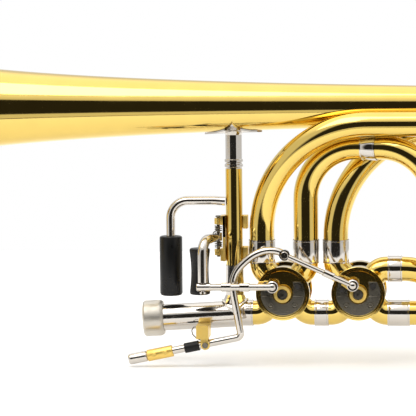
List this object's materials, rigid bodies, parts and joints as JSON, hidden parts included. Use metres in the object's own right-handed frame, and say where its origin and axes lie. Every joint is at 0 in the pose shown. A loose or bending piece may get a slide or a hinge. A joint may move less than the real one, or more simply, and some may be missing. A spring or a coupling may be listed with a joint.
{
  "type": "bass trombone bell section",
  "caption": "Bell section of a bass trombone: flared brass bell, slide receiver, in-line rotary valves with thumb and finger levers, looped valve tubing and tuning slides",
  "frame": {"origin": "centre of the mouth of the slide receiver", "axes": "+X from the flare to the main tuning slide, +Y away from the levers, +Z from the valve line up to the bell"},
  "size_m": [0.6776, 0.2413, 0.2995],
  "materials": {
    "brass": "polished and clear lacquered",
    "nickel": "polished nickel silver",
    "satin_nickel": "satin nickel plate",
    "steel": "machined steel",
    "black_grip": "satin black",
    "rubber": "matt black rubber"
  },
  "bodies": {
    "bell_section": {"bell": "brass", "bell_saddle": "nickel", "brace_tube": "brass", "brace_foot": "nickel", "grip_bar": "nickel", "grip_sleeve": "black_grip", "receiver_tube": "nickel", "receiver_ferrule": "nickel", "valve1_casing": "brass", "valve1_bearing_plate": "brass", "valve1_cap": "brass", "valve1_bumper_plate": "steel", "valve1_bumper_left": "rubber", "valve1_bumper_right": "rubber", "valve2_casing": "brass", "valve2_bearing_plate": "brass", "valve2_cap": "brass", "valve2_bumper_plate": "steel", "valve2_bumper_left": "rubber", "valve2_bumper_right": "rubber", "intervalve_ferrule": "nickel", "output_ferrule": "nickel", "neckpipe": "brass", "bell_sleeve": "nickel", "rear_brace": "nickel", "f_riser_tube": "brass", "f_riser_ferrule": "nickel", "f_crook_tube": "brass", "f_crook_ferrule": "nickel", "f_crown_ferrule": "nickel", "f_return_tube": "brass", "f_upper_sleeve": "nickel", "f_lower_sleeve": "nickel", "gb_crook_tube": "brass", "gb_crook_ferrule": "nickel", "gb_return_tube": "brass", "gb_return_ferrule": "nickel", "gb_upper_sleeve": "nickel", "gb_lower_sleeve": "nickel", "lever1_bracket": "brass", "lever1_pin": "steel", "lever1_spring": "steel", "lever2_bracket": "brass", "lever2_pin": "steel", "lever2_spring": "steel"},
    "nut": {"receiver_nut": "satin_nickel"},
    "first_rotor": {"valve1_rotor": "steel", "valve1_stop_arm": "brass"},
    "second_rotor": {"valve2_rotor": "steel", "valve2_stop_arm": "brass"},
    "thumb_lever": {"lever1_arm": "nickel", "lever1_pad": "black_grip"},
    "thumb_link": {"link1": "nickel"},
    "finger_lever": {"lever2_arm": "nickel", "lever2_clamp": "brass", "lever2_sleeve": "black_grip"},
    "finger_link": {"link2": "nickel"},
    "main_tuning_slide": {"main_slide": "brass"},
    "f_tuning_slide": {"f_slide": "brass"},
    "gb_tuning_slide": {"gb_slide": "brass"}
  },
  "joints": [
    {"name": "receiver_nut_turn", "type": "hinge", "parent": "bell_section", "child": "nut", "pos_m": [0, 0, 0], "axis": [0.9985, 0, 0.0541], "continuous": true},
    {"name": "lever1_hinge", "type": "hinge", "parent": "bell_section", "child": "thumb_lever", "pos_m": [0.0529, 0, 0.058], "axis": [0, 0, 1], "range_deg": [0, 23.7], "stiffness_Nm_per_rad": 0.1, "springref_deg": -20.05},
    {"name": "link1_pivot", "type": "hinge", "parent": "thumb_lever", "child": "thumb_link", "pos_m": [0.0441, -0.0288, 0.0258], "axis": [0, 0.0582, 0.9983], "range_deg": [-22.6, 0]},
    {"name": "valve1_spin", "type": "hinge", "parent": "bell_section", "child": "first_rotor", "pos_m": [0.099, 0, 0.0202], "axis": [0, 1, 0], "range_deg": [0, 90.2]},
    {"name": "lever2_hinge", "type": "hinge", "parent": "bell_section", "child": "finger_lever", "pos_m": [0.0452, -0.0228, -0.0151], "axis": [0, 1, 0], "range_deg": [0, 7.97], "stiffness_Nm_per_rad": 0.3, "springref_deg": -20.05},
    {"name": "link2_pivot", "type": "hinge", "parent": "finger_lever", "child": "finger_link", "pos_m": [0.1008, -0.027, 0.0479], "axis": [0, 1, 0], "range_deg": [-14.3, 0]},
    {"name": "valve2_spin", "type": "hinge", "parent": "bell_section", "child": "second_rotor", "pos_m": [0.1514, 0, 0.0202], "axis": [0, 1, 0], "range_deg": [0, 90.2]},
    {"name": "main_slide_travel", "type": "slide", "parent": "bell_section", "child": "main_tuning_slide", "axis": [1, 0, 0], "range_m": [0, 0.035]},
    {"name": "f_slide_travel", "type": "slide", "parent": "bell_section", "child": "f_tuning_slide", "axis": [1, 0, 0], "range_m": [0, 0.06]},
    {"name": "gb_slide_travel", "type": "slide", "parent": "bell_section", "child": "gb_tuning_slide", "axis": [1, 0, 0], "range_m": [0, 0.055]}
  ],
  "couplings": [
    {"joint": "valve1_spin", "follows": "lever1_hinge", "ratio": 3.797},
    {"joint": "link1_pivot", "follows": "lever1_hinge", "ratio": -0.946},
    {"joint": "valve2_spin", "follows": "lever2_hinge", "ratio": 11.29},
    {"joint": "link2_pivot", "follows": "lever2_hinge", "ratio": -1.765}
  ]
}
